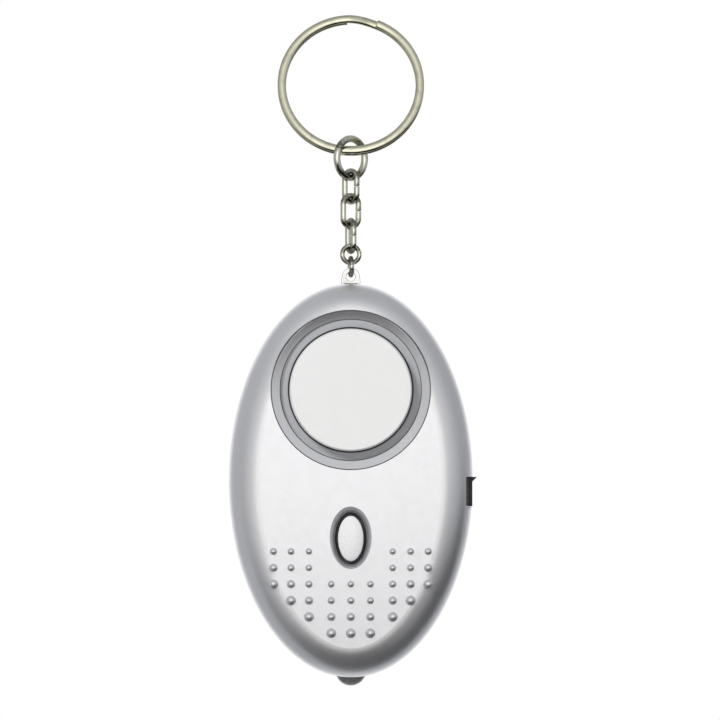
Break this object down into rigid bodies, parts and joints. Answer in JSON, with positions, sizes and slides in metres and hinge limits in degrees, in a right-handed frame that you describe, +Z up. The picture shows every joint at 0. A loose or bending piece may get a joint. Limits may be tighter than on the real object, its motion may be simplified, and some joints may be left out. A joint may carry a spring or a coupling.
{
  "type": "personal safety alarm",
  "caption": "Oval hand-held safety alarm with a round siren, light button, grip bumps, end lamp, and a pull pin on a short chain and split key ring.",
  "frame": {"origin": "centre of the key ring's eye, which the alarm hangs from", "axes": "+Z up, from the lamp end to the key ring; +X to the right as seen from the front; the front with siren and button faces -Y"},
  "size_m": [0.0396, 0.0173, 0.1076],
  "materials": {
    "silver_shell": "silver paint on moulded plastic, smooth and glossy",
    "silver_cap": "silver paint, smooth",
    "silver_grille": "silver paint, satin",
    "white_button": "pale silver plastic, smooth",
    "nickel_ring": "bright nickel plate on spring steel strip",
    "nickel_chain": "bright nickel plate on steel wire",
    "pin_steel": "bright plated steel",
    "bush_plastic": "plain moulded plastic",
    "lamp_resin": "smoky clear resin",
    "tab_film": "black insulating film",
    "cell_steel": "plain steel can",
    "contact_metal": "nickel-plated spring strip",
    "inner_plastic": "plain dark moulded plastic",
    "board_resin": "green circuit board",
    "chip_resin": "black potting resin",
    "coil_ferrite": "dark ferrite",
    "plunger_plastic": "brown moulded plastic",
    "sounder_brass": "plain brass sheet",
    "sounder_ceramic": "pale fired ceramic with a silver film",
    "screw_steel": "zinc-plated steel",
    "lead_metal": "tinned wire",
    "red_wire": "red insulated wire",
    "black_wire": "black insulated wire"
  },
  "bodies": {
    "key_ring": {"split_ring": "nickel_ring"},
    "jump_ring": {"jump_ring": "nickel_chain"},
    "link_1": {"link_1": "nickel_chain"},
    "link_2": {"link_2": "nickel_chain"},
    "link_3": {"link_3": "nickel_chain"},
    "small_ring": {"small_ring": "nickel_chain"},
    "end_ring": {"end_ring": "nickel_chain"},
    "pin": {"pull_pin": "pin_steel"},
    "light_button": {"light_button": "white_button", "switch_plunger": "plunger_plastic"},
    "battery_tab": {"battery_tab": "tab_film"},
    "battery_door": {"battery_door": "silver_shell", "door_screw": "screw_steel"},
    "housing": {"battery_tray": "inner_plastic", "battery_wire_1": "black_wire", "battery_wire_2": "red_wire", "board_screw_1": "screw_steel", "board_screw_2": "screw_steel", "cell_1": "cell_steel", "cell_2": "cell_steel", "cell_3": "cell_steel", "circuit_board": "board_resin", "front_shell": "silver_shell", "housing_screw_1": "screw_steel", "housing_screw_2": "screw_steel", "housing_screw_3": "screw_steel", "housing_screw_4": "screw_steel", "led_lamp": "lamp_resin", "led_lead_1": "lead_metal", "led_lead_2": "lead_metal", "piezo_ceramic": "sounder_ceramic", "piezo_disc": "sounder_brass", "pin_bush": "bush_plastic", "pin_leaf_1": "contact_metal", "pin_leaf_2": "contact_metal", "plate_contact": "contact_metal", "power_leaf": "contact_metal", "rear_shell": "silver_shell", "siren_back_cup": "inner_plastic", "siren_cap": "silver_cap", "siren_grille": "silver_grille", "siren_wire_1": "black_wire", "siren_wire_2": "red_wire", "sound_chip": "chip_resin", "spring_contact": "contact_metal", "step_up_coil": "coil_ferrite", "switch_block": "inner_plastic", "switch_wire_1": "black_wire", "switch_wire_2": "red_wire", "tact_switch": "chip_resin", "transistor": "chip_resin"}
  },
  "joints": [
    {"name": "jump_ring_swing", "type": "hinge", "parent": "key_ring", "child": "jump_ring", "pos_m": [0, -0.00315, -0.01062], "axis": [1, 0, 0], "range_deg": [-30, 30]},
    {"name": "link_1_swing", "type": "hinge", "parent": "jump_ring", "child": "link_1", "pos_m": [0, -0.00315, -0.015], "axis": [0.7071, 0.7071, 0], "range_deg": [-40, 40]},
    {"name": "link_2_swing", "type": "hinge", "parent": "link_1", "child": "link_2", "pos_m": [0, -0.00315, -0.01886], "axis": [0.7071, -0.7071, 0], "range_deg": [-40, 40]},
    {"name": "link_3_swing", "type": "hinge", "parent": "link_2", "child": "link_3", "pos_m": [0, -0.00315, -0.02282], "axis": [0.8988, 0.4384, 0], "range_deg": [-40, 40]},
    {"name": "small_ring_swing", "type": "hinge", "parent": "link_3", "child": "small_ring", "pos_m": [0, -0.00315, -0.02678], "axis": [0.342, -0.9397, 0], "range_deg": [-40, 40]},
    {"name": "end_ring_swing", "type": "hinge", "parent": "small_ring", "child": "end_ring", "pos_m": [0, -0.00315, -0.02863], "axis": [0.9945, 0.1045, 0], "range_deg": [-40, 40]},
    {"name": "pin_swing", "type": "hinge", "parent": "end_ring", "child": "pin", "pos_m": [0, -0.00315, -0.03061], "axis": [0.1045, -0.9945, 0], "range_deg": [-40, 40]},
    {"name": "pin_pull", "type": "slide", "parent": "pin", "child": "housing", "axis": [0, 0, -1], "range_m": [0, 0.012]},
    {"name": "light_button_press", "type": "slide", "parent": "housing", "child": "light_button", "axis": [0, 1, 0], "range_m": [0, 0.0004], "stiffness_N_per_m": 1500, "springref_m": -0.0001},
    {"name": "battery_tab_pull", "type": "slide", "parent": "housing", "child": "battery_tab", "axis": [1, 0, 0], "range_m": [0, 0.012]},
    {"name": "battery_door_lift", "type": "slide", "parent": "housing", "child": "battery_door", "axis": [0, 1, 0], "range_m": [0, 0.012]}
  ]
}
